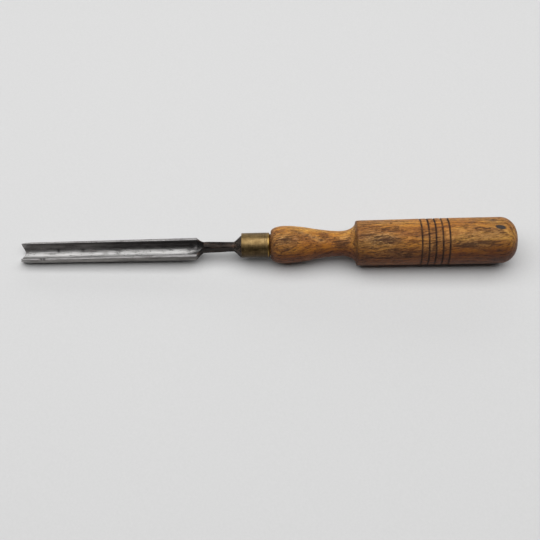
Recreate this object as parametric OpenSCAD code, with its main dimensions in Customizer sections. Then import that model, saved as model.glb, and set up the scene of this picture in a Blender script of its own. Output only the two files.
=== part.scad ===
// Carving gouge: a forged steel blade, a brass ferrule and a turned ash handle.
// The origin is the centre of the ferrule's front mouth, where the bolster seats.
// The tool lies along X, with the cutting edge at -X and the butt at +X. The channel opens to +Z.

/* [Blade] */
// Width across the channel at the shoulders
blade_w = 13.6; // [11.4:0.1:14]
// Width across the channel at the cutting edge
blade_tip_w = 12.9; // [11:0.1:13.4]
// Distance from the bolster's seat to the cutting edge
blade_reach = 134.5; // [110:0.5:160]
// Distance from the bolster's seat to the back of the wings
shoulder_reach = 27.5; // [24:0.5:32]
// Thickness of the channel's walls
wall_t = 1.7; // [1.3:0.1:2.2]
// Thickness of the channel's floor
floor_t = 1.7; // [1.7:0.1:2.6]
// Depth of the blade at the cutting edge, from the rims to the underside
tip_depth = 8.1; // [7.8:0.1:9]
// Depth of the blade at the shoulders, from the rims to the underside
shoulder_depth = 8.9; // [8.6:0.1:9.6]
// Drop of the rims at the shoulders below the handle's axis
rim_drop = 0.6; // [0:0.1:1]
// Further fall of the rims from the shoulders to the cutting edge
rim_fall = 0.8; // [0:0.1:1.2]
// Length of the bevel that is ground on the outside of the edge
bevel_l = 6.5; // [4:0.5:10]
// Thickness left at the cutting edge
edge_t = 0.15; // [0.1:0.05:0.4]

/* [Neck and bolster] */
// Distance of the neck's centre line below the handle's axis
neck_drop = 1.2; // [0.8:0.1:1.3]
// Width of the neck where it leaves the blade
neck_w = 4.9; // [4.4:0.1:5.6]
// Height of the neck where it leaves the blade
neck_h = 6.5; // [5.8:0.1:7]
// Width of the neck at the bolster
neck_thin_w = 4.4; // [4:0.1:5]
// Height of the neck at the bolster
neck_thin_h = 5.4; // [4.8:0.1:6]
// Chamfer along the neck's four corners
neck_chamfer = 0.7; // [0.3:0.1:1]
// Width across the flats of the eight-sided bolster
bolster_w = 12.2; // [11:0.1:12.4]
// Length of the bolster's flare
bolster_l = 4.6; // [3.5:0.1:6]

/* [Tang] */
// Length of the tang inside the handle
tang_l = 72; // [50:1:90]
// Side of the square tang at the bolster
tang_w = 7; // [6:0.1:8]
// Side of the square tang at its end
tang_end_w = 2.6; // [2:0.1:4]

/* [Ferrule] */
// Outside diameter of the ferrule
ferrule_d = 15.1; // [14.6:0.1:16]
// Length of the ferrule
ferrule_l = 16.9; // [12:0.1:20]
// Wall thickness of the ferrule
ferrule_t = 1; // [0.8:0.1:1.2]

/* [Handle] */
// Distance from the ferrule's mouth to the butt
handle_l = 165.6; // [160:0.1:185]
// Diameter of the barrel at its fullest, near the butt
barrel_d = 28.2; // [26:0.1:31]
// Diameter of the barrel at its front shoulder
barrel_front_d = 27.5; // [25:0.1:28]
// Diameter of the bulb behind the ferrule
bulb_d = 22.8; // [20:0.1:25]
// Diameter of the waist between the bulb and the barrel
waist_d = 15.3; // [14:0.1:18]
// Diameter of the flat end of the butt
butt_flat_d = 8; // [6:0.5:12]
// Diameter of the hole that is drilled for the tang
pilot_d = 3; // [2.5:0.1:3.4]

/* [Burnt rings] */
// Number of burnt rings round the barrel
ring_count = 5; // [1:5]
// Distance from the ferrule's mouth to the first ring
ring_start = 107.4; // [85:0.1:107.4]
// Distance between neighbouring rings
ring_pitch = 4.12; // [2.5:0.01:4.12]
// Radius of the round bottom of a ring's groove
ring_groove_r = 0.45; // [0.2:0.05:0.6]

/* [Hidden] */
$fn = 96;

steel = [0.47, 0.46, 0.45];
brass = [0.72, 0.58, 0.35];
ash = [0.72, 0.54, 0.31];

// Places along the tool
tip_x = -blade_reach;
wing_x = -shoulder_reach;
neck_x = wing_x + 4.6;
sweep_x = wing_x - 5.5;
runout_x = wing_x - 6.5;
ramp_x = neck_x - 0.7;
ramp_rise = 4.6;
gap = 0.8;
wood_x = ferrule_l + gap;
bulb_x = wood_x + 8.3;
waist_x = 60;
cove_x = 69;
barrel_x = 70.2;
grip_x = 127;
butt_x = handle_l - 9.9;
pilot_l = tang_l + 4;

// Heights and radii of the channel
outer_r = blade_w / 2;
inner_r = outer_r - wall_t;
tip_r = blade_tip_w / 2;
shoulder_under_z = -rim_drop - shoulder_depth;
shoulder_arc_z = shoulder_under_z + outer_r;
tip_arc_z = -rim_drop - rim_fall - tip_depth + outer_r;
blade_run = wing_x - tip_x;
channel_tilt = atan((tip_arc_z - shoulder_arc_z) / blade_run);
neck_top_z = neck_h / 2 - neck_drop;
neck_under_z = -neck_h / 2 - neck_drop;
floor_lift = floor_t - wall_t;
floor_z = shoulder_under_z + floor_t;

// Radii of the ferrule and the handle
spigot_r = ferrule_d / 2 - ferrule_t;
wood_front_r = ferrule_d / 2 + 0.35;
cove_r = barrel_front_d / 2 - 0.75;
ferrule_edge = 0.3;

// Points of a curve that starts steep at a and ends level at b
function rise(a, b, n = 8) =
    [for (i = [0:n]) [b[0] - (b[0] - a[0]) * cos(90 * i / n), a[1] + (b[1] - a[1]) * sin(90 * i / n)]];

// Points of a curve that starts level at a and ends steep at b
function turn(a, b, n = 8) =
    [for (i = [0:n]) [a[0] + (b[0] - a[0]) * sin(90 * i / n), b[1] - (b[1] - a[1]) * cos(90 * i / n)]];

// Points of a curve that is level at both a and b
function ease(a, b, n = 12) =
    [for (i = [0:n]) [a[0] + (b[0] - a[0]) * i / n, a[1] + (b[1] - a[1]) * (1 - cos(180 * i / n)) / 2]];

// Points that close a half profile by its mirror image
function mirrored(half) = concat(half, [for (i = [len(half) - 1:-1:0]) [half[i][0], -half[i][1]]]);

// A profile of [x, radius] points turned about the X axis
module turned(profile) {
    rotate([0, 90, 0]) rotate_extrude()
        polygon([for (p = profile) [p[1], p[0]]]);
}

// A section in the YZ plane run along X
module along_x(length) {
    rotate([90, 0, 90]) linear_extrude(length) children();
}

// A side view outline, wide enough to cut the whole blade
module side_view(points) {
    rotate([90, 0, 0]) linear_extrude(40, center = true) polygon(points);
}

// A top view outline, tall enough to cut the whole blade
module top_view(points) {
    linear_extrude(60, center = true) polygon(points);
}

// The U of the channel, open upwards: a half round with straight walls above it
module u_section(r) {
    circle(r);
    translate([-r, 0]) square([2 * r, 16]);
}

// The U run along the blade on its own slightly tilted line, lifted above the underside's centre
module u_run(r, lift) {
    translate([wing_x, 0, shoulder_arc_z + lift]) rotate([0, channel_tilt, 0])
        translate([-blade_run - 6, 0, 0]) along_x(blade_run + 20) u_section(r);
}

// Everything inside the hollow, which ends in a ramp that climbs to the top of the neck
module hollow() {
    intersection() {
        u_run(inner_r, floor_lift);
        side_view([[tip_x - 5, floor_z - 5], [runout_x, floor_z - 5], [runout_x, floor_z],
            [ramp_x, floor_z + ramp_rise], [neck_x - 0.1, neck_top_z], [neck_x + 2, 12], [tip_x - 5, 12]]);
        top_view(mirrored(concat([[tip_x - 5, inner_r + 1]],
            turn([wing_x - 1.6, inner_r + 1], [neck_x + 1, 0.3], 6))));
    }
}

// The solid that the ground bevel leaves: a cone below, and two tapering walls above it
module bevel_limit() {
    edge_r = inner_r + edge_t;
    far_r = outer_r + (outer_r - edge_r) / bevel_l * (blade_run - bevel_l);
    translate([tip_x, 0, tip_arc_z + floor_lift]) {
        rotate([0, 90, 0]) cylinder(r1 = edge_r, r2 = far_r, h = blade_run, $fn = 96);
        intersection() {
            top_view(mirrored([[0, edge_r], [blade_run, far_r]]));
            translate([0, -30, 0]) cube([blade_run, 60, 20]);
        }
    }
    translate([wing_x - 1, -20, -20]) cube([40, 40, 40]);
}

// The channelled blade with its wings, up to the start of the neck
module channel() {
    difference() {
        intersection() {
            u_run(outer_r, 0);
            side_view(concat([[tip_x, -20], [tip_x, -rim_drop - rim_fall], [wing_x, -rim_drop]],
                [[neck_x, neck_top_z]],
                ease([neck_x, neck_under_z], [sweep_x, shoulder_under_z - 0.2]),
                [[sweep_x, -20]]));
            top_view(mirrored(concat([[tip_x, tip_r], [wing_x, outer_r + 0.01]],
                [for (a = [0:10:90]) [neck_x - (neck_x - wing_x) * cos(a),
                    outer_r - (outer_r - neck_w / 2) * sin(a)]])));
            bevel_limit();
        }
        hollow();
    }
}

// A bar along X that tapers from one rectangle to another, with corners that are chamfered at x1
module bar(x0, w0, h0, x1, w1, h1, chamfer) {
    diagonal_0 = (w0 + h0) / 2 / sqrt(2);
    diagonal_1 = (w1 + h1) / 2 / sqrt(2) - chamfer / sqrt(2);
    intersection() {
        top_view(mirrored([[x0, w0 / 2], [x1, w1 / 2]]));
        side_view(mirrored([[x0, h0 / 2], [x1, h1 / 2]]));
        rotate([45, 0, 0]) side_view(mirrored([[x0, diagonal_0], [x1, diagonal_1]]));
        rotate([-45, 0, 0]) side_view(mirrored([[x0, diagonal_0], [x1, diagonal_1]]));
    }
}

// The forged neck between the blade and the bolster
module neck() {
    translate([0, 0, -neck_drop]) difference() {
        bar(wing_x, neck_w + 0.1, neck_h + 0.1, -1, neck_thin_w, neck_thin_h, neck_chamfer);
        translate([0, 0, neck_drop]) hollow();
    }
}

// The eight-sided bolster that flares from the neck to its seat on the ferrule
module bolster() {
    half = [[-bolster_l - 1.2, 2.2], [-bolster_l, neck_thin_h / 2 + 0.1],
        [-0.7, bolster_w / 2], [0, bolster_w / 2]];
    translate([0, 0, -neck_drop])
        intersection_for(a = [0, 45, 90, 135])
            rotate([a, 0, 0]) side_view(mirrored(half));
}

// The square tang, tapering evenly to its end
module tang() {
    half = [[0, tang_w / 2], [tang_l, tang_end_w / 2]];
    intersection() {
        top_view(mirrored(half));
        side_view(mirrored(half));
    }
}

// The whole forging in one piece: channel, neck, bolster and tang
module blade() {
    color(steel) union() {
        channel();
        neck();
        bolster();
        tang();
    }
}

// The brass tube that keeps the front of the handle from splitting
module ferrule() {
    r = ferrule_d / 2;
    color(brass) turned(concat([[0, spigot_r]],
        rise([0, r - ferrule_edge], [ferrule_edge, r], 4),
        turn([ferrule_l - ferrule_edge, r], [ferrule_l, r - ferrule_edge], 4),
        [[ferrule_l, spigot_r]]));
}

// The turned outside of the handle: spigot, bulb, waist, cove, barrel and domed butt
module handle_body() {
    barrel_r = barrel_d / 2;
    turned(concat([[0, 0], [0, spigot_r], [wood_x, spigot_r]],
        rise([wood_x, wood_front_r], [bulb_x, bulb_d / 2]),
        ease([bulb_x, bulb_d / 2], [waist_x, waist_d / 2]),
        turn([waist_x, waist_d / 2], [cove_x, cove_r]),
        rise([cove_x, cove_r], [barrel_x, barrel_front_d / 2], 4),
        [[grip_x, barrel_r]],
        turn([butt_x, barrel_r], [handle_l, butt_flat_d / 2], 12),
        [[handle_l, 0]]));
}

// Radius of the barrel at a place in front of its straight grip
function barrel_r_at(x) = barrel_front_d / 2
    + (barrel_d - barrel_front_d) / 2 * (x - barrel_x) / (grip_x - barrel_x);

// The handle with its burnt rings, and the hole that the tang is driven into
module handle() {
    color(ash) difference() {
        handle_body();
        for (i = [0:ring_count - 1]) {
            x = ring_start + i * ring_pitch;
            translate([x, 0, 0]) rotate([0, 90, 0]) rotate_extrude()
                translate([barrel_r_at(x) + 0.1, 0]) circle(ring_groove_r, $fn = 24);
        }
        tang();
        translate([0.5, 0, 0]) rotate([0, 90, 0]) cylinder(d = pilot_d, h = pilot_l - 0.5);
    }
}

blade();
ferrule();
handle();
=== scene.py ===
"""Looks of the carving gouge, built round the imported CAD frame. Lengths in named values are in mm."""
import math

import bmesh
import bpy
import numpy as np
from mathutils import Matrix, Vector, noise


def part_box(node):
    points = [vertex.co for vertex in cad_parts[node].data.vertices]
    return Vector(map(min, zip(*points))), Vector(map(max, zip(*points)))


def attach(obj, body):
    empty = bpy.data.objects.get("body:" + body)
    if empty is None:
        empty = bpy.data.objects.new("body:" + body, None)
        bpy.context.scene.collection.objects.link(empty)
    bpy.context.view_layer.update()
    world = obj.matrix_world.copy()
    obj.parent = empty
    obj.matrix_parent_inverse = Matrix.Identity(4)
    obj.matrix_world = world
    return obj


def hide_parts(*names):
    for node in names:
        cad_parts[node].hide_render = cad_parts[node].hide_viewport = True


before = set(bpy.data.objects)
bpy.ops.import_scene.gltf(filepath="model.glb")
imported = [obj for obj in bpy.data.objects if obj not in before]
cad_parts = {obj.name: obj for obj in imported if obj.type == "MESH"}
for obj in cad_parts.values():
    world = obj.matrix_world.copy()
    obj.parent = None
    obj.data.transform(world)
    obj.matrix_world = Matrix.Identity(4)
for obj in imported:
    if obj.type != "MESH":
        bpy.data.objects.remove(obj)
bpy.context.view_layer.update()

MM = 0.001

# Places along the tool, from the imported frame
BLADE_LOW, BLADE_HIGH = [[c / MM for c in corner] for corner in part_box("blade")]
FERRULE_HIGH = [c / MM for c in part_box("ferrule")[1]]
HANDLE_HIGH = [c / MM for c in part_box("handle")[1]]
TIP_X = BLADE_LOW[0]
TANG_END_X = BLADE_HIGH[0]
BUTT_X = HANDLE_HIGH[0]
FERRULE_L = FERRULE_HIGH[0]
FERRULE_R = FERRULE_HIGH[2]
BARREL_R = HANDLE_HIGH[2]
SKIN = 0.03  # how far the visible surfaces stay inside the CAD box

# Blade, which wear and sharpening have left a little shallower and thinner at the edge
HALF_W = 6.8
TIP_HALF_W = 6.45
WALL, TIP_WALL = 1.7, 1.15
FLOOR_T, TIP_FLOOR_T = 1.7, 1.2
WING_X = -27.5
NECK_X = WING_X + 4.6
SWEEP_X = WING_X - 9.0
RUNOUT_X = WING_X - 6.5
RAMP_X = NECK_X - 0.7
RAMP_RISE = 4.6
TIP_DEPTH = 7.6
SHOULDER_DEPTH = 8.9
RIM_Z = -0.6
RIM_FALL = 0.8
BEVEL_L = 6.5
EDGE_T = 0.15
NECK_DROP = 1.2
NECK_HALF = (2.45, 3.25)
NECK_THIN_HALF = (2.2, 2.7)
BOLSTER_HALF = 6.1
BOLSTER_L = 4.6
TANG_HALF = 3.5
TANG_END_HALF = 1.3

# Wear of the blade
EDGE_REACH = 11.0  # how far back from the edge its wear is felt
EDGE_SKEW = 1.3
EDGE_HOLLOW = 1.7
BEVEL_ROUNDING = 0.36  # 1 is a flat bevel, less is a rounder one
NICK_X, NICK_DEPTH, NICK_LENGTH = -121.6, 0.8, 0.6  # a small chip in the near wing
CHANNEL_PITS = [(-112.6, 0.9), (-97.6, 1.7)]  # place and size along the blade
CHIP_PITS = [(-121.4, 0.8), (-119.4, 0.9)]

# Handle
WOOD_X = FERRULE_L + 0.8
BULB_X = WOOD_X + 8.3
WAIST_X = 60.0
COVE_X = 69.0
BARREL_X = 70.2
GRIP_X = 127.0
ROUND_X = BUTT_X - 9.9
SPIGOT_R = 6.55
WOOD_FRONT_R = 7.9
BULB_R = 11.4
WAIST_R = 7.65
COVE_R = 13.0
BARREL_FRONT_R = 13.75
BUTT_FLAT_R = 4.0
RING_START, RING_PITCH, RING_COUNT = 107.4, 4.12, 5
RINGS = [RING_START + i * RING_PITCH for i in range(RING_COUNT)]
KNOT_X, KNOT_ANGLE = 154.1, 0.0  # the angle is from +Z towards +Y
KNOT_LENGTH, KNOT_WIDTH, KNOT_SLANT = 6.0, 3.0, 0.18


# ---------------------------------------------------------------- small helpers

def mix(a, b, t):
    return a + (b - a) * t


def clamped(value):
    return min(max(value, 0.0), 1.0)


def smooth(low, high, value):
    """0 below low, 1 above high, with an even S between them."""
    t = clamped((value - low) / (high - low))
    return t * t * (3 - 2 * t)


def bell(value, centre, width):
    return math.exp(-((value - centre) / width) ** 2)


def turn_between(a, b):
    """The turn from angle b to angle a, in radians from -pi to pi."""
    return (a - b + math.pi) % (2 * math.pi) - math.pi


def rough(x, y, z, size, seed=0.0):
    """Even noise from -1 to 1 with lumps about size mm across."""
    return noise.noise(Vector((x / size + seed, y / size - seed, z / size + 0.37 * seed)))


def make_mesh(name, points, faces, layers=None, sharp=None):
    """An object from points in mm, with float attributes that its material reads."""
    mesh = bpy.data.meshes.new(name)
    mesh.from_pydata([(x * MM, y * MM, z * MM) for x, y, z in points], [], faces)
    for layer, values in (layers or {}).items():
        mesh.attributes.new(layer, "FLOAT", "POINT").data.foreach_set("value", values)
    mesh.validate()
    mesh.shade_smooth()
    if sharp:
        mesh.set_sharp_from_angle(angle=math.radians(sharp))
    piece = bpy.data.objects.new(name, mesh)
    bpy.context.scene.collection.objects.link(piece)
    return piece


def ring_faces(rows, columns):
    """Quads between neighbouring closed rings of the same number of points."""
    return [(r * columns + c, r * columns + (c + 1) % columns,
             (r + 1) * columns + (c + 1) % columns, (r + 1) * columns + c)
            for r in range(rows - 1) for c in range(columns)]


def spaced(stops):
    """Places along the tool from [start, end, step] stretches, without repeats."""
    places = []
    for start, end, step in stops:
        count = max(1, round((end - start) / step))
        places += [start + (end - start) * i / count for i in range(count)]
    return places + [stops[-1][1]]


# ---------------------------------------------------------------- blade

SIDE_FILLET, SIDE_WALL, SIDE_CORNER = 5, 8, 15


def channel_line(x):
    """Rim height, underside and floor of the plain channel at x."""
    t = (x - WING_X) / (TIP_X - WING_X)
    rim = RIM_Z - RIM_FALL * t
    under = rim - mix(SHOULDER_DEPTH, TIP_DEPTH, t)
    return rim, under, under + mix(FLOOR_T, TIP_FLOOR_T, t)


def channel_section(x):
    """Sizes of the section in front of the neck, where the wings sweep in and the floor climbs."""
    rim, under, floor = channel_line(min(x, WING_X))
    neck_top = NECK_HALF[1] - NECK_DROP
    towards_tip = clamped((WING_X - x) / (WING_X - TIP_X))
    past_wing = clamped((x - WING_X) / (NECK_X - WING_X))
    wide = mix(HALF_W, TIP_HALF_W, towards_tip)
    half = NECK_HALF[0] + (wide - NECK_HALF[0]) * (1 - past_wing) ** 1.35
    wall = mix(mix(WALL, TIP_WALL, towards_tip), 0.9, clamped((x - WING_X) / 3))
    rim = mix(rim, neck_top - 0.35, past_wing ** 1.3)
    sweep = smooth(SWEEP_X, NECK_X + 1, x)
    floor += RAMP_RISE * clamped((x - RUNOUT_X) / (RAMP_X - RUNOUT_X)) ** 1.3
    floor = mix(floor, neck_top, smooth(RAMP_X - 0.3, NECK_X + 0.3, x))
    under = min(mix(under, -NECK_HALF[1] - NECK_DROP, sweep), floor - 1.2)
    return half, half - wall, rim, under, min(floor, rim), mix(0.97 * half, 0.75, sweep)


def neck_section(x):
    """Sizes of the section from the neck to the bolster's rear face, where nothing is hollow."""
    along = clamped((x - NECK_X) / (-BOLSTER_L - NECK_X))
    sweep = smooth(SWEEP_X, NECK_X + 1, x)
    flare = clamped((x + BOLSTER_L) / (BOLSTER_L - 0.7))
    flare = mix(flare * flare, flare, 0.8)
    height = mix(NECK_HALF[1], NECK_THIN_HALF[1], along)
    shoulder_under = mix(channel_line(WING_X)[1], -NECK_HALF[1] - NECK_DROP, sweep)
    half = mix(mix(NECK_HALF[0], NECK_THIN_HALF[0], along), BOLSTER_HALF, flare)
    rim = height - NECK_DROP - 0.35 * (1 - smooth(NECK_X, NECK_X + 2.5, x))
    rim = mix(rim, BOLSTER_HALF - NECK_DROP, flare)
    under = mix(mix(shoulder_under, -height - NECK_DROP, sweep), -BOLSTER_HALF - NECK_DROP, flare)
    corner = mix(mix(0.97 * NECK_HALF[0], 0.75, sweep), 0.586 * BOLSTER_HALF, flare)
    return half, half * mix(0.9, 0.3, clamped((x - NECK_X) / 1.5)), rim, under, rim, corner


def blade_section(x):
    """The blade's section at x as a dictionary of half widths, heights and corner sizes."""
    sizes = neck_section(x) if x > NECK_X else channel_section(x)
    half, inner, rim, under, floor, corner = sizes
    uneven = smooth(NECK_X, SWEEP_X, x) * smooth(TIP_X, TIP_X + 10, x)
    inner += 0.14 * rough(x, 0, 0, 9, 3.1) * uneven
    if x < TIP_X + BEVEL_L:
        back = ((x - TIP_X) / BEVEL_L) ** BEVEL_ROUNDING
        half = mix(inner + EDGE_T, half, back)
        under = mix(floor - EDGE_T, under, back)
        corner = 0.97 * half
    depth = max(rim - floor, 0.0)
    wall = half - inner
    top = mix(min(0.3, wall * 0.35), min(corner, half * 0.6), smooth(NECK_X - 1.2, NECK_X + 0.8, x))
    return {"half": half, "inner": inner, "rim": rim, "under": under, "floor": floor,
            "corner": corner, "top": top, "fillet": min(0.28, wall * 0.35, depth * 0.4),
            "facet": smooth(WING_X, NECK_X, x), "bowl": min(inner, depth * 0.85),
            "forged": smooth(WING_X - 0.4, WING_X + 1.6, x),
            "dull": smooth(RAMP_X - 0.3, RAMP_X + 0.4, x)}


def corner_points(centre, radius, start, count, facet):
    """Points round a quarter turn from the start angle, as an arc or, by facet, nearer a chamfer."""
    points = []
    for i in range(count):
        t = i / (count - 1)
        a = math.radians(start + 90 * t)
        arc = (math.cos(a), math.sin(a))
        s, e = math.radians(start), math.radians(start + 90)
        flat = (mix(math.cos(s), math.cos(e), t), mix(math.sin(s), math.sin(e), t))
        points.append((centre[0] + radius * mix(arc[0], flat[0], facet),
                       centre[1] + radius * mix(arc[1], flat[1], facet)))
    return points


def line_points(a, b, count):
    """Points strictly between a and b."""
    return [(mix(a[0], b[0], i / (count + 1)), mix(a[1], b[1], i / (count + 1)))
            for i in range(1, count + 1)]


def blade_ring(s):
    """The closed outline of one section: outside from near rim to far rim, then back inside."""
    half, rim, under, corner = s["half"], s["rim"], s["under"], s["corner"]
    top, inner, fillet = s["top"], s["inner"], s["fillet"]
    facet = 0.85 * s["facet"]
    near_top = corner_points((-half + top, rim - top), top, 90, SIDE_FILLET, facet)
    near_low = corner_points((-half + corner, under + corner), corner, 180, SIDE_CORNER, facet)
    outer = near_top + line_points(near_top[-1], near_low[0], SIDE_WALL) + near_low
    far = [(-y, z) for y, z in reversed(outer)]
    hollow_top = (inner + fillet, rim)
    far_lip = [(inner + fillet - fillet * math.sin(math.radians(a)),
                rim - fillet + fillet * math.cos(math.radians(a)))
               for a in np.linspace(0, 90, SIDE_FILLET)]
    bowl = [(inner * math.sin(math.radians(a)),
             s["floor"] + s["bowl"] * (1 - math.cos(math.radians(a))))
            for a in np.linspace(90, 0, SIDE_CORNER)]
    inside = far_lip + line_points(far_lip[-1], bowl[0], SIDE_WALL) + bowl
    back = [(-y, z) for y, z in reversed(inside)]
    far_flat = line_points(far[-1], hollow_top, 2)
    near_flat = [(-y, z) for y, z in reversed(far_flat)]
    return outer + far + far_flat + inside + back + near_flat


def edge_shift(x, y, z, s):
    """How far the worn edge stands back from square: at the near wing and in a hollow."""
    reach = max(0.0, 1 - (x - TIP_X) / EDGE_REACH)
    skew = EDGE_SKEW * smooth(-1.0, -HALF_W, y) * smooth(s["rim"] - 6.0, s["rim"] - 0.5, z)
    hollow = EDGE_HOLLOW * bell(y, 2.6, 2.2) * smooth(s["rim"] - 0.8, s["rim"] - 4.5, z)
    ragged = 0.12 * rough(y, z, 0, 0.9, 5.0) + 0.1 * rough(y, z, 0, 2.3, 1.0)
    return max(skew + hollow + ragged * reach, 0.0) * reach * reach


def forge_marks(x, y, z, forged):
    """Outward unevenness of the hand-forged and filed surface."""
    broad = 0.09 * rough(x, y * 2, z * 2, 7, 11.0)
    small = 0.045 * rough(x, y, z, 1.7, 7.0)
    return (broad + small) * mix(0.45, 1.0, forged)


def chipped(x, y, z, s):
    """Height of one point of a section after the chip in the near wing."""
    if y > 0 or z < s["rim"] - 1:
        return z
    return z - NICK_DEPTH * bell(x, NICK_X, NICK_LENGTH) * smooth(s["rim"] - 1, s["rim"], z)


def worn_point(x, y, z, s, is_inside):
    """One point of a section after forging marks and the wear of the edge."""
    middle = (s["rim"] + s["under"]) / 2
    push = forge_marks(x, y, z, s["forged"]) * smooth(TIP_X, TIP_X + 4, x) * smooth(-0.02, -0.9, x)
    if is_inside:
        push *= -0.3 * (1 - s["forged"])
    push /= max(math.hypot(y, z - middle), 1e-6)
    across = y * (1 + push)
    across = min(max(across, -HALF_W + SKIN), HALF_W - SKIN)
    return x + edge_shift(x, y, z, s), across, middle + (z - middle) * (1 + push)


def pit_at(x, y, z, s):
    """Strength of the few large corrosion pits: on the channel's far side, and behind the chip."""
    if y > 0:
        along = max(bell(x, place, size) for place, size in CHANNEL_PITS)
        return along * bell(y, 3.4, 1.2) * bell(z, s["floor"] + 0.9, 1.3)
    along = max(bell(x, place, size) for place, size in CHIP_PITS)
    return along * bell(z, s["rim"], 0.9)


def blade_tone(x, y, z, s, is_inside):
    """What the steel's material shows at one point, each from 0 to 1."""
    forged = s["dull"] if is_inside else s["forged"]
    height = (z - s["floor"]) / max(s["rim"] - s["floor"], 0.5)
    # painted reflection and shade: where the floor climbs to the neck, only the far side counts as higher,
    # so it takes the darker wall colour while the near side keeps the bright floor colour
    climbed = (s["floor"] - channel_line(x)[2]) / 5
    return {"inside": (1 - forged) if is_inside else 0.0,
            "forged": max(forged, smooth(-BOLSTER_L - 0.5, -BOLSTER_L + 1, x)),
            "rimmed": bell(z, s["rim"], 0.35) * (1 - s["forged"]),
            "ground": 0.0 if is_inside else 1 - smooth(BEVEL_L - 0.8, BEVEL_L, x - TIP_X),
            "height": clamped(height + climbed * smooth(-0.4, 2.2, y)),
            "pitted": pit_at(x, y, z, s)}


def blade_places():
    """Places along the forging, closest together at the edge, the shoulders and the bolster."""
    return (spaced([[TIP_X + SKIN, TIP_X + 1, 0.12], [TIP_X + 1, TIP_X + BEVEL_L, 0.3],
                    [TIP_X + BEVEL_L, SWEEP_X, 0.36], [SWEEP_X, WING_X - 1.6, 0.2],
                    [WING_X - 1.6, WING_X - 0.05, 0.1]])
            + spaced([[WING_X, WING_X + 1.3, 0.1], [WING_X + 1.3, NECK_X, 0.18]])
            + spaced([[NECK_X + 0.15, NECK_X + 2.5, 0.2], [NECK_X + 2.5, -BOLSTER_L - 0.6, 0.28],
                      [-BOLSTER_L - 0.6, -0.7, 0.12], [-0.7, -SKIN, 0.1]]))


def tang_section(x):
    """The tapered square tang, as a section without a hollow."""
    half = mix(TANG_HALF, TANG_END_HALF, max(x, 0) / TANG_END_X) - 0.02
    return {"half": half, "inner": half * 0.4, "rim": half, "under": -half, "floor": half,
            "corner": 0.25, "top": 0.25, "fillet": 0.0, "facet": 1.0, "bowl": 0.0}


def make_blade():
    """The forging: channel with bevel and edge, shoulders, neck, eight-sided bolster and tang."""
    points = []
    layers = {layer: [] for layer in ("inside", "forged", "rimmed", "ground", "height", "pitted")}
    outside = 2 * (SIDE_FILLET + SIDE_WALL + SIDE_CORNER)
    for x in blade_places():
        s = blade_section(x)
        ring = blade_ring(s)
        count = len(ring)
        for i, (y, z) in enumerate(ring):
            is_inside = outside + 4 <= i < count - 4
            z = chipped(x, y, z, s)
            points.append(worn_point(x, y, z, s, is_inside))
            for layer, value in blade_tone(x, y, z, s, is_inside).items():
                layers[layer].append(value)
    for x in [-SKIN, 0.3] + spaced([[3, TANG_END_X - SKIN, 3]]):
        points += [(x, y, z) for y, z in blade_ring(tang_section(x))]
        for layer in layers:
            layers[layer] += [1.0 if layer == "forged" else 0.0] * count
    rows = len(points) // count
    faces = ring_faces(rows, count)
    faces += end_cap(0, count, outside, False)
    faces += end_cap((rows - 1) * count, count, outside, True)
    piece = make_mesh("blade_forging", points, faces, layers, sharp=38)
    weld(piece)
    return piece


def end_cap(first, count, outside, reverse):
    """Quads that close a ring by joining its outside to its inside."""
    outer = list(range(first, first + outside))
    inner = [first + (outside + 2 + i) % count for i in range(outside)]
    inner.reverse()
    faces = [(outer[i], inner[i], inner[i + 1], outer[i + 1]) for i in range(outside - 1)]
    near = [first + count - 2, first + count - 1]
    far = [first + outside, first + outside + 1]
    faces.append((outer[0], near[1], near[0], inner[0]))
    faces.append((outer[-1], inner[-1], far[1], far[0]))
    return [tuple(reversed(f)) for f in faces] if reverse else faces


def weld(piece):
    """Joins points that fall together where a flat has no width, and drops what is left over."""
    bm = bmesh.new()
    bm.from_mesh(piece.data)
    bmesh.ops.remove_doubles(bm, verts=bm.verts, dist=2e-6)
    bmesh.ops.dissolve_degenerate(bm, edges=bm.edges, dist=1e-6)
    bmesh.ops.recalc_face_normals(bm, faces=bm.faces)
    bm.to_mesh(piece.data)
    bm.free()


# ---------------------------------------------------------------- ferrule and handle

def rise(x, a, b):
    """Height of a curve that starts steep at a and ends level at b."""
    t = (b[0] - x) / (b[0] - a[0])
    return a[1] + (b[1] - a[1]) * math.sqrt(max(1 - t * t, 0.0))


def turn(x, a, b):
    """Height of a curve that starts level at a and ends steep at b."""
    t = (x - a[0]) / (b[0] - a[0])
    return b[1] - (b[1] - a[1]) * math.sqrt(max(1 - t * t, 0.0))


def ease(x, a, b):
    """Height of a curve that is level at both a and b."""
    t = (x - a[0]) / (b[0] - a[0])
    return a[1] + (b[1] - a[1]) * (1 - math.cos(math.pi * t)) / 2


def handle_radius(x):
    """Radius of the turned handle at x, before wear."""
    if x < BULB_X:
        return rise(x, (WOOD_X, WOOD_FRONT_R), (BULB_X, BULB_R))
    if x < WAIST_X:
        return ease(x, (BULB_X, BULB_R), (WAIST_X, WAIST_R))
    if x < COVE_X:
        return turn(x, (WAIST_X, WAIST_R), (COVE_X, COVE_R))
    if x < BARREL_X:
        return rise(x, (COVE_X, COVE_R), (BARREL_X, BARREL_FRONT_R))
    if x < GRIP_X:
        return mix(BARREL_FRONT_R, BARREL_R, (x - BARREL_X) / (GRIP_X - BARREL_X))
    if x < ROUND_X:
        return BARREL_R
    return turn(x, (ROUND_X, BARREL_R), (BUTT_X, BUTT_FLAT_R))


def curve_places(start, end, count, level_first):
    """Places that crowd towards the steep end of a quarter curve."""
    angles = [math.radians(90 * i / count) for i in range(count)]
    if level_first:
        return [start + (end - start) * math.sin(a) for a in angles]
    return [end - (end - start) * math.cos(a) for a in angles]


def ring_places():
    """Places across the burnt rings, close together in each groove."""
    wider = (0.72, 0.9, 1.15, 1.5, 1.9)
    steps = [-d for d in reversed(wider)] + [i / 10 for i in range(-6, 7)] + list(wider)
    return [x + d for x in RINGS for d in steps]


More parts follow.
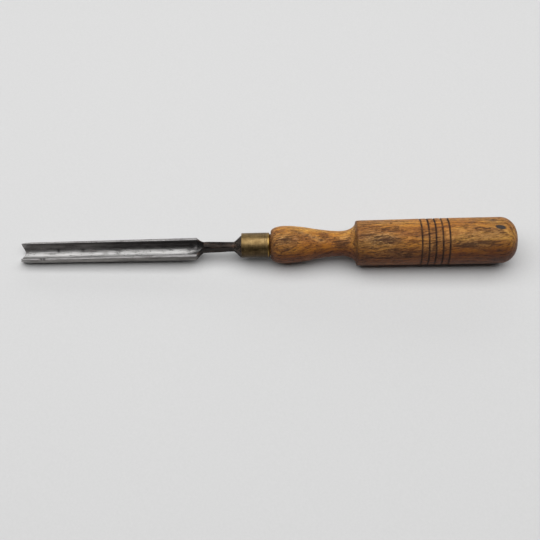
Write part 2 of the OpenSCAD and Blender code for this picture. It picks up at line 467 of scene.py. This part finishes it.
def dents_at(x, a, dents, along, around):
    """Depth of the dents at one point; each is a place, an angle, a depth and a size."""
    return sum(depth * bell(x, dent_x, size * along) * bell(turn_between(a, dent_a), 0, size / around)
               for dent_x, dent_a, depth, size in dents if abs(x - dent_x) < 6)


def lathe(name, profile, segments, layers, change, sharp=None):
    """A closed turned piece from a closed [x, radius] profile; change moves each point outwards."""
    points, values = [], {layer: [] for layer in layers}
    for x, r in profile:
        for i in range(segments):
            a = 2 * math.pi * i / segments
            y, z = math.sin(a), math.cos(a)
            moved, found = change(x, r, a, y, z)
            points.append((x, moved * y, moved * z))
            for layer in layers:
                values[layer].append(found[layer])
    rows = len(profile)
    faces = ring_faces(rows, segments)
    faces += [((rows - 1) * segments + c, (rows - 1) * segments + (c + 1) % segments,
               (c + 1) % segments, c) for c in range(segments)]
    return make_mesh(name, points, faces, values, sharp)


FERRULE_DENTS = [(4.2, 5.6, 0.10, 1.1), (10.4, 0.5, 0.07, 0.8), (7.8, 4.4, 0.12, 1.4),
                 (2.0, 2.3, 0.1, 0.9)]


def make_ferrule():
    """The brass tube, with softened ends, a turned line by its rear rim and a few dents."""
    outer, inner = FERRULE_R - SKIN, SPIGOT_R + 0.01
    front_lip, rear_lip = 0.35, 0.45
    line_x = FERRULE_L - 1.75
    front = [(SKIN + front_lip * (1 - math.sin(a)), outer - front_lip * (1 - math.cos(a)))
             for a in np.radians(np.linspace(90, 0, 6))]
    body = [(x, outer - 0.13 * bell(x, line_x, 0.16)) for x in
            spaced([[1.0, line_x - 0.6, 0.35], [line_x - 0.6, line_x + 0.6, 0.06],
                    [line_x + 0.6, FERRULE_L - 0.55, 0.15]])]
    rear = [(FERRULE_L - SKIN - rear_lip * (1 - math.sin(a)), outer - rear_lip * (1 - math.cos(a)))
            for a in np.radians(np.linspace(0, 90, 8))]
    inside = [(x, inner) for x in spaced([[FERRULE_L - SKIN, SKIN, 2.0]])]

    def change(x, r, a, y, z):
        """Dents and unevenness of the tube's outside."""
        if r <= inner + 0.05:
            return r, {"rimmed": 0.0}
        dents = dents_at(x, a, FERRULE_DENTS, 1, 7)
        wave = 0.025 * rough(x, y * 7, z * 7, 3.0, 2.0) + 0.02 * math.cos(2 * a + 0.6)
        return min(r - dents + wave - 0.02, outer), {"rimmed": smooth(line_x + 0.5, line_x + 1.0, x)}

    return lathe("ferrule_tube", front + body + rear + inside, 160, ["rimmed"], change, sharp=50)


HANDLE_DENTS = [(24, 0.3, 0.14, 1.2), (33, 5.5, 0.12, 1.6), (44, 0.9, 0.1, 1.1), (52, 5.9, 0.12, 1.0),
                (78, 0.1, 0.16, 1.3), (86, 5.6, 0.12, 1.8), (95, 0.7, 0.14, 1.1), (101, 6.1, 0.1, 1.4),
                (131, 5.8, 0.13, 1.2), (138, 0.5, 0.15, 1.5), (146, 0.0, 0.12, 1.1), (150, 3.2, 0.2, 1.6),
                (84, 2.6, 0.18, 1.7), (118, 3.4, 0.12, 1.2), (62, 3.0, 0.1, 1.0), (160, 1.9, 0.16, 1.3)]

# Weathered patches: place, angle from +Z towards +Y, half length, half width and strength
STAINS = [(26, -22, 7.5, 5.5, 0.8), (36, 8, 2.6, 0.9, 0.9), (39.5, 0, 2.4, 0.9, 0.9),
          (43.5, -10, 2.6, 1.0, 0.9), (47.5, -20, 2.4, 1.0, 0.9), (62, -25, 5, 4, 0.5),
          (78, -26, 8, 6.5, 0.85), (88, -28, 7, 4.5, 0.8), (94, -66, 22, 3.5, 0.7),
          (85, 30, 12, 3, 0.45), (117, -28, 8, 5, 0.4), (112, -50, 6, 3, 0.6),
          (138, -26, 13, 6, 0.5), (139, -43, 12, 2.0, 0.6), (150, 26, 3, 1.6, 0.8),
          (40, 170, 9, 4, 0.6), (90, 150, 14, 5, 0.6), (135, -150, 12, 5, 0.6), (100, 100, 9, 3, 0.5)]


def stain_at(x, r, a):
    """How weathered the wood is at one point, from 0 to 1."""
    total = 0.0
    for place, angle, long, wide, strength in STAINS:
        if abs(x - place) < 2.5 * long:
            across = turn_between(a, math.radians(angle)) * r
            total += strength * bell(x, place, long) * bell(across, 0, wide)
    return min(total, 1.0)


def burnt_rings(x, y, z):
    """Depth of the ring grooves at one point, and how burnt the wood is there."""
    groove = burn = 0.0
    for i, ring_x in enumerate(RINGS):
        away = abs(x - ring_x - 0.10 * rough(y * 6, z * 6, i * 9.0, 4, 6.0))
        strength = 1 + 0.25 * rough(y * 14, z * 14, i * 5.0, 5, 8.0)
        groove += 0.36 * strength * math.exp(-(away / 0.40) ** 4)
        burn = max(burn, math.exp(-(away / 0.60) ** 4) * min(1, 0.9 * strength))
    return groove, burn


def knot_at(x, r, a):
    """How far one point is inside the small slanting knot, from 0 to 1."""
    span = KNOT_X - x
    across = turn_between(math.radians(KNOT_ANGLE), a) * r + KNOT_SLANT * span
    away = (span / (KNOT_LENGTH / 2)) ** 2 + (across / (KNOT_WIDTH / 2)) ** 2
    return math.exp(-away ** 1.6 * 0.8)


def grime_and_crease_shade_at(x):
    """Darker wood along the handle: painted shade at the joint with the ferrule and in the cove, and
    soiling from hands at the barrel's front edge and towards the butt.
    """
    return max(bell(x, WOOD_X, 2.2), 0.9 * bell(x, COVE_X, 1.5), 0.5 * bell(x, BARREL_X + 2, 4),
               0.42 * smooth(116, 150, x), 0.6 * smooth(BUTT_X - 7, BUTT_X, x))


def handle_change(x, r, a, y, z):
    """The worn radius at one point of the handle, and the five layers that its material shows."""
    if r < SPIGOT_R + 0.1 and x < ROUND_X:
        return r, {"burn": 0.0, "knot": 0.0, "grime_and_crease_shade": 1.0, "stain": 0.0, "underside_shade": 0.0}
    groove, burn = burnt_rings(x, y, z)
    knot = knot_at(x, r, a)
    wave = 0.10 * rough(x * 0.35, y * 12, z * 12, 14, 4.0) + 0.05 * rough(x, y * 14, z * 14, 4, 9.0)
    oval = 0.05 * math.cos(2 * a + 1.1) - 0.05
    dents = dents_at(x, a, HANDLE_DENTS, 1.3, r)
    edge = 0.08 * bell(x, BARREL_X, 0.8) * (1 + rough(y * 9, z * 9, 0, 3, 2.0))
    butt = 0.16 * smooth(ROUND_X + 4, BUTT_X, x) * rough(x, y * r, z * r, 3.5, 1.5)
    moved = r + wave + oval - groove - 0.5 * knot - dents - edge - butt
    # painted shade: the lower side, turned away from the light and most on the near side, is darkened in
    # the colour
    facing_up = math.cos(a - math.radians(25)) + 0.1 * rough(x, y * 9, z * 9, 9, 2.5)
    underside_shade = smooth(-0.75, 0.35, -facing_up * min(r / 9, 1.0))
    return min(moved, BARREL_R - SKIN), {"burn": burn, "knot": knot, "grime_and_crease_shade": grime_and_crease_shade_at(x),
                                         "stain": stain_at(x, r, a), "underside_shade": underside_shade}


def make_handle():
    """The turned handle, with its spigot, tang hole, burnt rings, knot, dents and worn edges."""
    steep = curve_places(WOOD_X, BULB_X, 26, False)
    cove = curve_places(WAIST_X, COVE_X, 34, True)
    nose = curve_places(COVE_X, BARREL_X, 8, False)
    butt = curve_places(ROUND_X, BUTT_X, 44, True)
    outside = (steep + spaced([[BULB_X, WAIST_X - 0.45, 0.45]]) + cove + nose
               + spaced([[BARREL_X, RINGS[0] - 2.3, 0.42]]) + ring_places()
               + spaced([[RINGS[-1] + 2.3, ROUND_X - 0.4, 0.42]]) + butt)
    spigot = [(0.05, SPIGOT_R - 0.4)]
    spigot += [(x, SPIGOT_R - 0.02) for x in (0.2, 4.0, 12.0, WOOD_X - 0.05)]
    spigot += [(WOOD_X, SPIGOT_R + 0.3), (WOOD_X, WOOD_FRONT_R - 0.4)]
    end = BUTT_X - SKIN
    face = [(end, BUTT_FLAT_R * k) for k in (0.98, 0.75, 0.5, 0.25, 0.02)]
    hole = [(TANG_END_X + 4, 0.02), (TANG_END_X + 4, 1.5), (TANG_END_X, 1.95), (36.0, 3.5),
            (0.05, 5.05)]
    profile = spigot + [(x, handle_radius(x)) for x in outside] + face
    layers = ["burn", "knot", "grime_and_crease_shade", "stain", "underside_shade"]
    return lathe("handle_turned", profile + hole, 196, layers, handle_change)


# ---------------------------------------------------------------- materials

class Tree:
    """A material's node tree, with short calls for the nodes that the materials share."""

    def __init__(self, name):
        self.material = bpy.data.materials.new(name)
        self.material.use_nodes = True
        self.nodes = self.material.node_tree.nodes
        self.links = self.material.node_tree.links
        self.shader = self.nodes["Principled BSDF"]
        where = self.node("ShaderNodeTexCoord").outputs["Object"]
        self.place = self.scaled(where, (1 / MM, 1 / MM, 1 / MM))

    def node(self, kind, **settings):
        """A new node of one kind, with its settings."""
        node = self.nodes.new(kind)
        for key, value in settings.items():
            setattr(node, key, value)
        return node

    def put(self, socket, value):
        """Links a node's output to the socket, or sets the socket to a constant."""
        if isinstance(value, bpy.types.NodeSocket):
            self.links.new(value, socket)
        else:
            socket.default_value = value

    def scaled(self, vector, scale, move=(0, 0, 0), turned=(0, 0, 0)):
        """A vector scaled, then turned by degrees and moved."""
        node = self.node("ShaderNodeMapping")
        self.put(node.inputs["Vector"], vector)
        node.inputs["Scale"].default_value = scale
        node.inputs["Location"].default_value = move
        node.inputs["Rotation"].default_value = [math.radians(a) for a in turned]
        return node.outputs["Vector"]

    def axes(self, vector):
        """The X, Y and Z of a vector."""
        node = self.node("ShaderNodeSeparateXYZ")
        self.put(node.inputs[0], vector)
        return node.outputs["X"], node.outputs["Y"], node.outputs["Z"]

    def maths(self, operation, a, b=0.0, c=0.0, clamp=False):
        node = self.node("ShaderNodeMath", operation=operation, use_clamp=clamp)
        for socket, value in zip(node.inputs, (a, b, c)):
            self.put(socket, value)
        return node.outputs[0]

    def times(self, a, b):
        return self.maths("MULTIPLY", a, b)

    def times_add(self, a, b, c, clamp=False):
        """a times b, plus c."""
        return self.maths("MULTIPLY_ADD", a, b, c, clamp)

    def noise(self, scale, detail=3.0, roughness=0.55, move=(0, 0, 0), vector=None, distortion=0.0):
        """Noise from 0 to 1 whose lumps are about 1 / scale mm along each axis."""
        node = self.node("ShaderNodeTexNoise")
        self.put(node.inputs["Vector"], self.scaled(vector or self.place, scale, move))
        node.inputs["Scale"].default_value = 1.0
        node.inputs["Detail"].default_value = detail
        node.inputs["Roughness"].default_value = roughness
        node.inputs["Distortion"].default_value = distortion
        return node.outputs["Fac"]

    def cells(self, scale, move=(0, 0, 0)):
        """Distance from the middles of scattered cells, about 1 / scale mm apart."""
        node = self.node("ShaderNodeTexVoronoi")
        self.put(node.inputs["Vector"], self.scaled(self.place, scale, move))
        node.inputs["Scale"].default_value = 1.0
        return node.outputs["Distance"]

    def ramp(self, value, stops):
        """A colour, or a grey given as one number, blended between stops along a value."""
        node = self.node("ShaderNodeValToRGB")
        elements = node.color_ramp.elements
        while len(elements) < len(stops):
            elements.new(0.5)
        for element, (at, colour) in zip(elements, stops):
            element.position = at
            element.color = (*colour, 1) if isinstance(colour, tuple) else (colour,) * 3 + (1,)
        self.put(node.inputs["Fac"], value)
        return node.outputs["Color"]

    def tones(self, value, places, *colours):
        """Colours from 0 to 255, blended between places along a value."""
        return self.ramp(value, [(place, srgb(*colour)) for place, colour in zip(places, colours)])

    def step(self, value, low, high):
        """0 below low and 1 above high, or the other way round, with an S between."""
        node = self.node("ShaderNodeMapRange", interpolation_type="SMOOTHSTEP")
        self.put(node.inputs["Value"], value)
        node.inputs["From Min"].default_value = low
        node.inputs["From Max"].default_value = high
        return node.outputs["Result"]

    def blend(self, factor, a, b, kind="MIX"):
        """Colour a, taken towards colour b by the factor."""
        node = self.node("ShaderNodeMix", data_type="RGBA", blend_type=kind)
        self.put(node.inputs["Factor"], factor)
        self.put(node.inputs["A"], a if isinstance(a, bpy.types.NodeSocket) else (*a, 1))
        self.put(node.inputs["B"], b if isinstance(b, bpy.types.NodeSocket) else (*b, 1))
        return node.outputs["Result"]

    def layer(self, name):
        """One of the piece's own float attributes."""
        return self.node("ShaderNodeAttribute", attribute_name=name).outputs["Fac"]

    def bump(self, height, distance, strength=1.0, under=None):
        """A normal from a height, over the normal of the bump under it."""
        node = self.node("ShaderNodeBump")
        node.inputs["Distance"].default_value = distance * MM
        node.inputs["Strength"].default_value = strength
        self.put(node.inputs["Height"], height)
        if under:
            self.put(node.inputs["Normal"], under)
        return node.outputs["Normal"]

    def finish(self, colour, roughness, normal, metallic=0.0):
        """Connects the surface and returns the material."""
        self.put(self.shader.inputs["Base Color"], colour)
        self.put(self.shader.inputs["Roughness"], roughness)
        self.put(self.shader.inputs["Normal"], normal)
        self.put(self.shader.inputs["Metallic"], metallic)
        return self.material


def srgb(r, g, b):
    """A colour from 0 to 255 as the linear values that shaders use."""
    return tuple(c / 255 / 12.92 if c <= 10 else ((c / 255 + 0.055) / 1.055) ** 2.4
                 for c in (r, g, b))


def early_wood(t):
    """The darker, porous part of each year's growth, from 0 to 1 across the growth rings."""
    warp = t.noise((0.018, 0.07, 0.07), 2.0, 0.5, (4, 2, 7))
    # the pith runs beside the handle, and leans a little
    y, z = t.axes(t.scaled(t.place, (1, 1, 1), (0, 0, 0), (0, 1.6, -1.2)))[1:]
    pith_turn = math.radians(58)
    across = t.times_add(y, math.sin(pith_turn), t.times(z, math.cos(pith_turn)))
    deep = t.times_add(z, math.sin(pith_turn), t.times(y, -math.cos(pith_turn)))
    deep = t.maths("ADD", deep, 46.0)
    reach = t.maths("SQRT", t.maths("ADD", t.times(across, across), t.times(deep, deep)))
    season = t.maths("FRACT", t.maths("DIVIDE", t.times_add(warp, 9.0, reach), 1.9))
    return t.ramp(season, [(0.0, 0.25), (0.06, 1.0), (0.3, 0.85), (0.55, 0.25), (0.92, 0.0), (1.0, 0.25)])


def ash_material():
    """Oiled ash: growth rings about an off-centre pith, open pores, burnt rings, knot, soiling from hands,
    and painted shade in the creases and on the lower side.
    """
    t = Tree("oiled_ash")
    early, stain, burn = early_wood(t), t.layer("stain"), t.layer("burn")

    # pores: long dark dashes, crowded in the early wood and where the surface has weathered
    grain = t.scaled(t.place, (1, 1, 1), (0, 0, 0), (0, 4.2, -6.8))
    pores = t.noise((0.17, 1.3, 1.3), 3.0, 0.68, (1, 5, 2), grain, distortion=0.9)
    flecks = t.step(t.times_add(stain, 0.09, t.times_add(early, 0.06, pores)), 0.565, 0.65)
    fine = t.noise((0.34, 3.0, 3.0), 3.0, 0.66, (9, 1, 3), grain, distortion=0.9)
    fine_flecks = t.step(t.times_add(stain, 0.05, t.times_add(early, 0.07, fine)), 0.52, 0.63)
    fibres = t.noise((0.06, 0.9, 0.9), 6.0, 0.76, (2, 8, 5), grain, distortion=0.9)
    wavy = t.noise((0.3, 1.7, 1.7), 3.0, 0.68, (4, 6, 6), grain, distortion=1.8)

    # clean wood, then weathering and pores
    blotch = t.noise((0.030, 0.09, 0.09), 4.0, 0.62, (6, 3, 1))
    base = t.tones(blotch, (0.32, 0.50, 0.68), (148, 88, 22), (184, 124, 42), (208, 156, 70))
    base = t.blend(t.times(early, 0.45), base, srgb(136, 82, 30))
    tint = t.ramp(fibres, [(0.3, (0.42, 0.30, 0.20)), (0.5, (0.93, 0.88, 0.82)), (0.66, (1.28, 1.26, 1.2))])
    base = t.blend(0.9, base, tint, "MULTIPLY")
    weathered = t.tones(wavy, (0.38, 0.5, 0.62), (72, 48, 28), (128, 96, 60), (190, 156, 108))
    base = t.blend(t.times(stain, 0.7), base, weathered)
    base = t.blend(t.times(fine_flecks, 0.6), base, srgb(84, 46, 18))
    base = t.blend(t.times(flecks, 0.8), base, srgb(54, 31, 16))

    # soiling and painted shade, then the burnt rings and the knot
    smudge = t.step(t.noise((0.07, 0.16, 0.16), 4.0, 0.65, (3, 3, 9)), 0.50, 0.72)
    # painted shade at the ferrule joint and in the cove, with soiling and smudges, takes the colour darker
    dirt_and_crease_shade = t.times_add(t.layer("grime_and_crease_shade"), 0.6, t.times(smudge, 0.32), clamp=True)
    base = t.blend(dirt_and_crease_shade, base, srgb(68, 39, 17))
    # painted shade: the lower side of the handle is multiplied darker
    base = t.blend(t.layer("underside_shade"), base, (0.40, 0.27, 0.16), "MULTIPLY")
    patchy = t.step(t.noise((0.6, 0.35, 0.35), 3.0, 0.6, (8, 8, 2)), 0.2, 0.5)
    char = t.times(burn, t.times_add(patchy, 0.25, 0.75))
    base = t.blend(char, base, srgb(38, 24, 18))
    base = t.blend(t.step(t.layer("knot"), 0.15, 0.7), base, srgb(44, 34, 30))

    sheen = t.noise((0.2, 0.5, 0.5), 4.0, 0.6, (5, 5, 5))
    roughness = t.times_add(flecks, 0.25, t.times_add(sheen, 0.22, 0.36))
    roughness = t.times_add(char, 0.3, roughness, clamp=True)
    relief = t.times_add(flecks, -1.0, t.times(fibres, 0.5))
    relief = t.times_add(fine_flecks, -0.45, relief)
    scratches = t.noise((0.9, 0.25, 1.6), 3.0, 0.7, (7, 1, 1))
    normal = t.bump(relief, 0.11, 0.9, t.bump(scratches, 0.06, 0.6))
    t.shader.inputs["Specular IOR Level"].default_value = 0.28
    return t.finish(base, roughness, normal)


def steel_material():
    """Old carbon steel: polished channel floor, dark walls, grey outside, black and brown neck."""
    t = Tree("old_carbon_steel")
    inside, forged, height = t.layer("inside"), t.layer("forged"), t.layer("height")
    rimmed, ground, pitted = t.layer("rimmed"), t.layer("ground"), t.layer("pitted")
    x = t.axes(t.place)[0]
    towards_neck = t.step(x, TIP_X + 8, WING_X - 10)
    streaks = t.noise((0.05, 2.2, 2.2), 4.0, 0.65, (2, 2, 2))
    scratches = t.noise((0.35, 7.0, 7.0), 3.0, 0.7, (7, 2, 4))
    broad = t.noise((0.06, 0.28, 0.28), 4.0, 0.62, (5, 1, 8))
    clouds = t.noise((0.11, 0.45, 0.45), 5.0, 0.7, (3, 9, 4))
    stains = t.step(clouds, 0.50, 0.68)
    pits = t.step(t.cells((0.55, 0.9, 0.9), (4, 4, 1)), 0.24, 0.08)
    pits = t.times(pits, t.step(t.noise((0.10, 0.3, 0.3), 3.0, 0.6, (1, 7, 7)), 0.44, 0.58))

    # the channel: a bright floor that wears through the patina of the walls
    edge = t.times_add(t.maths("SUBTRACT", clouds, 0.5), 0.55, height)
    polished = t.maths("SUBTRACT", 1.0, t.step(edge, 0.06, 0.34))
    tone, places = t.times_add(streaks, 0.6, t.times(broad, 0.4)), (0.34, 0.5, 0.66)
    bright = t.tones(tone, places, (104, 103, 102), (140, 139, 138), (166, 165, 163))
    wall_dark = t.tones(tone, places, (56, 54, 54), (82, 80, 80), (116, 113, 112))
    wall_grey = t.tones(tone, places, (96, 94, 93), (134, 131, 130), (166, 163, 161))
    channel = t.blend(polished, t.blend(towards_neck, wall_grey, wall_dark), bright)

    # outside, rims, ground bevel
    places = (0.32, 0.5, 0.68)
    outer_dark = t.tones(broad, places, (84, 81, 79), (116, 113, 110), (144, 141, 137))
    outer_light = t.tones(broad, places, (116, 113, 111), (150, 147, 144), (172, 169, 165))
    colour = t.blend(inside, t.blend(towards_neck, outer_light, outer_dark), channel)
    worn = t.tones(clouds, (0.35, 0.5, 0.7), (108, 106, 106), (140, 138, 138), (168, 166, 165))
    colour = t.blend(t.times(rimmed, 0.9), colour, worn)
    colour = t.blend(t.times(ground, 0.6), colour, bright)
    colour = t.blend(t.times(stains, 0.42), colour, srgb(40, 38, 38))

    # the forged end: black scale, pitted on the bolster, with brown rust over it
    scale = t.tones(clouds, (0.35, 0.5, 0.7), (28, 26, 26), (46, 42, 40), (72, 65, 60))
    speckle = t.noise((1.3, 1.5, 1.5), 4.0, 0.7, (7, 3, 7))
    speckled = t.tones(speckle, (0.40, 0.52, 0.66), (30, 27, 26), (66, 60, 56), (128, 118, 108))
    at_bolster = t.step(x, -BOLSTER_L - 1.5, -BOLSTER_L + 0.5)
    colour = t.blend(forged, colour, t.blend(t.times(at_bolster, 0.75), scale, speckled))
    rust_at = t.noise((0.13, 0.55, 0.55), 5.0, 0.7, (8, 2, 6))
    rust = t.step(t.times_add(forged, 0.06, rust_at), 0.54, 0.72)
    rusty = t.times(rust, t.times_add(forged, 0.28, 0.18))
    colour = t.blend(rusty, colour, srgb(86, 54, 34))
    colour = t.blend(t.times(pits, 0.8), colour, srgb(26, 23, 22))
    colour = t.blend(t.times(pitted, 0.85), colour, srgb(24, 22, 21))

    metallic = t.maths("SUBTRACT", 1.0, t.maths("MAXIMUM", rusty, t.times(pits, 0.5)))
    roughness = t.times_add(forged, 0.10, t.times_add(streaks, 0.22, 0.30))
    roughness = t.times_add(rimmed, 0.10, roughness)
    roughness = t.times_add(t.maths("MAXIMUM", rust, stains), 0.15, roughness, clamp=True)
    hammer = t.noise((0.35, 0.5, 0.5), 3.0, 0.6, (6, 6, 6))
    drawn = t.times(t.times_add(scratches, 0.5, streaks), t.maths("SUBTRACT", 1.0, forged))
    eaten = t.maths("ADD", pits, t.times(rust, -0.4))
    normal = t.bump(t.times(hammer, t.times_add(forged, 0.8, 0.2)), 0.22, 0.6)
    normal = t.bump(eaten, -0.14, 0.9, t.bump(drawn, 0.035, 0.8, normal))
    return t.finish(colour, roughness, normal, metallic)


def brass_material():
    """Dulled brass with fine turned lines, tarnish blotches, a brighter rear rim and painted shade on its
    lower side.
    """
    t = Tree("dull_brass")
    rimmed = t.layer("rimmed")
    turned = t.noise((3.6, 0.10, 0.10), 3.0, 0.6, (2, 2, 2))
    lines = t.noise((1.5, 0.04, 0.04), 3.0, 0.7, (4, 4, 4))
    tarnish = t.noise((0.28, 0.4, 0.4), 5.0, 0.65, (5, 3, 3))
    scuffs = t.step(t.noise((0.5, 2.6, 2.6), 3.0, 0.7, (1, 9, 1)), 0.58, 0.70)
    spots = t.step(t.cells((0.6, 0.8, 0.8), (3, 1, 2)), 0.22, 0.08)
    x, _, z = t.axes(t.place)
    rear = t.step(x, FERRULE_L * 0.45, FERRULE_L * 0.85)
    # painted reflection of shade: the tube's lower side is darkened in the colour, with an edge broken up
    # by the tarnish noise
    below = t.step(t.times_add(tarnish, 4.0, z), 7.8, 3.6)
    colour = t.tones(tarnish, (0.30, 0.5, 0.70), (92, 74, 47), (124, 102, 67), (148, 125, 86))
    colour = t.blend(t.times(below, 0.74), colour, srgb(44, 35, 26))
    colour = t.blend(0.8, colour, t.ramp(turned, [(0.3, 0.74), (0.5, 0.96), (0.7, 1.1)]), "MULTIPLY")
    grooves = t.ramp(lines, [(0.36, 0.34), (0.47, 0.90), (0.6, 1.0), (0.68, 1.25)])
    colour = t.blend(t.times_add(rear, 0.55, 0.35), colour, grooves, "MULTIPLY")
    colour = t.blend(t.times(scuffs, 0.35), colour, srgb(176, 150, 104))
    colour = t.blend(t.times(spots, 0.5), colour, srgb(66, 52, 34))
    colour = t.blend(t.times(rimmed, 0.7), colour, srgb(150, 118, 60))
    roughness = t.times_add(rimmed, -0.10, t.times_add(tarnish, 0.24, 0.30), clamp=True)
    normal = t.bump(lines, 0.05, 0.8, t.bump(turned, 0.03, 0.9))
    normal = t.bump(tarnish, 0.05, 0.4, normal)
    return t.finish(colour, roughness, normal, 1.0)


def floor_material():
    """Plain pale paper, with the faintest tooth."""
    t = Tree("pale_paper")
    tooth = t.noise((0.8, 0.8, 0.8), 3.0, 0.6)
    colour = t.ramp(tooth, [(0.3, 0.525), (0.7, 0.545)])
    return t.finish(colour, 0.85, t.bump(tooth, 0.01, 0.2))


# ---------------------------------------------------------------- floor, light and camera

REST_BARREL_X, REST_BARREL_Z = 140.0, -BARREL_R
REST_TIP_X, REST_TIP_Z = TIP_X + BEVEL_L, RIM_Z - RIM_FALL - TIP_DEPTH - 0.05
VIEW_TILT, VIEW_TURN, VIEW_ELEVATION = 1.0, -0.8, 58.0  # degrees
VIEW_DISTANCE = 580.0
VIEW_WIDTH = 326.7
VIEW_CENTRE_X, VIEW_CENTRE_DROP = 17.2, 15.2


def tilted_axes(slope):
    """Right, away and up directions for a table that the tool's axis meets at a slope in radians."""
    right = Vector((math.cos(slope), 0, -math.sin(slope)))
    up = Vector((math.sin(slope), 0, math.cos(slope)))
    return right, Vector((0, 1, 0)), up


def make_floor():
    """A wide flat sheet under the tool, touching the barrel and the blade by its tip."""
    slope = math.atan2(REST_TIP_Z - REST_BARREL_Z, REST_BARREL_X - REST_TIP_X)
    right, away, up = tilted_axes(slope)
    centre = Vector((REST_BARREL_X, 0, REST_BARREL_Z)) - up * 0.02
    reach = 2500.0
    corners = [centre + right * (a * reach) + away * (b * reach)
               for a, b in ((-1, -1), (1, -1), (1, 1), (-1, 1))]
    floor = make_mesh("floor", [tuple(c) for c in corners], [(0, 1, 2, 3)])
    floor.data.materials.append(floor_material())


def add_area(name, place, target, size, power):
    """A soft oblong light at a place in mm, facing a target in mm."""
    light = bpy.data.lights.new(name, "AREA")
    light.shape = "RECTANGLE"
    light.size, light.size_y = size[0] * MM, size[1] * MM
    light.energy = power
    lamp = bpy.data.objects.new(name, light)
    lamp.location = Vector(place) * MM
    aim = (Vector(target) - Vector(place)).to_track_quat("-Z", "Y")
    lamp.rotation_euler = aim.to_euler()
    bpy.context.scene.collection.objects.link(lamp)


def make_lights():
    """Broad soft light from above, with a weaker one from low down behind the tool."""
    add_area("sky", (20, 90, 1190), (20, 0, 0), (3000, 1300), 36)
    add_area("backdrop", (20, 1400, 420), (20, 0, 0), (3000, 700), 8)
    world = bpy.data.worlds.new("studio")
    world.use_nodes = True
    background = world.node_tree.nodes["Background"]
    background.inputs["Color"].default_value = (1.0, 1.0, 1.0, 1)
    background.inputs["Strength"].default_value = 0.05
    bpy.context.scene.world = world


def make_camera():
    """The camera at the viewing angle, looking down on the near side of the tool."""
    right, away, up = tilted_axes(math.radians(VIEW_TILT))
    turn_by = math.radians(VIEW_TURN)
    rise_by = math.radians(VIEW_ELEVATION)
    level = -math.sin(turn_by) * right + math.cos(turn_by) * away
    side = math.cos(turn_by) * right + math.sin(turn_by) * away
    view_up = math.sin(rise_by) * level + math.cos(rise_by) * up
    back = -math.cos(rise_by) * level + math.sin(rise_by) * up
    place = Vector((VIEW_CENTRE_X, 0, 0)) - view_up * VIEW_CENTRE_DROP + back * VIEW_DISTANCE
    data = bpy.data.cameras.new("camera")
    data.sensor_width = 36
    data.lens = data.sensor_width * VIEW_DISTANCE / VIEW_WIDTH
    data.clip_start, data.clip_end = 0.01, 20
    camera = bpy.data.objects.new("camera", data)
    basis = Matrix((side, view_up, back)).transposed().to_4x4()
    camera.matrix_world = Matrix.Translation(place * MM) @ basis
    bpy.context.scene.collection.objects.link(camera)
    bpy.context.scene.camera = camera


# ---------------------------------------------------------------- assembly

def dress(piece, node, material):
    """Gives a piece its material and lets it stand for its CAD node."""
    piece.data.materials.append(material)
    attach(piece, "root")
    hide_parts(node)


make_camera()
make_lights()
make_floor()
dress(make_blade(), "blade", steel_material())
dress(make_ferrule(), "ferrule", brass_material())
dress(make_handle(), "handle", ash_material())
bpy.context.scene.view_settings.view_transform = "Standard"
